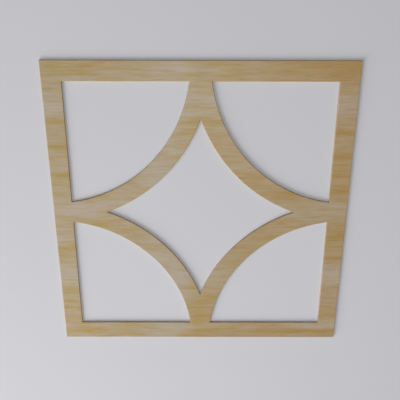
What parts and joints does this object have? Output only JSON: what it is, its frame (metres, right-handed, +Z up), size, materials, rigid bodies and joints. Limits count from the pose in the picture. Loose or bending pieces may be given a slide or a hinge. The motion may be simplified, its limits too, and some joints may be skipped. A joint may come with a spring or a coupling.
{
  "type": "ceiling medallion",
  "caption": "Flat square pierced wooden ceiling medallion: a square frame with curved ribs that leave a star opening in the middle and a fan-shaped opening in each corner.",
  "frame": {"origin": "centre of the board's back, on the plane that lies against the ceiling, in the middle of the star opening", "axes": "+Z up, out of the back and into the ceiling; the show face looks down; X and Y along the sides of the square, with the grain along X"},
  "size_m": [0.508, 0.508, 0.004],
  "materials": {
    "wood": "pale hardwood, sanded smooth, with a thin clear satin finish; straight grain along X with soft ochre streaks"
  },
  "bodies": {
    "root": {"medallion_panel": "wood"}
  },
  "joints": []
}
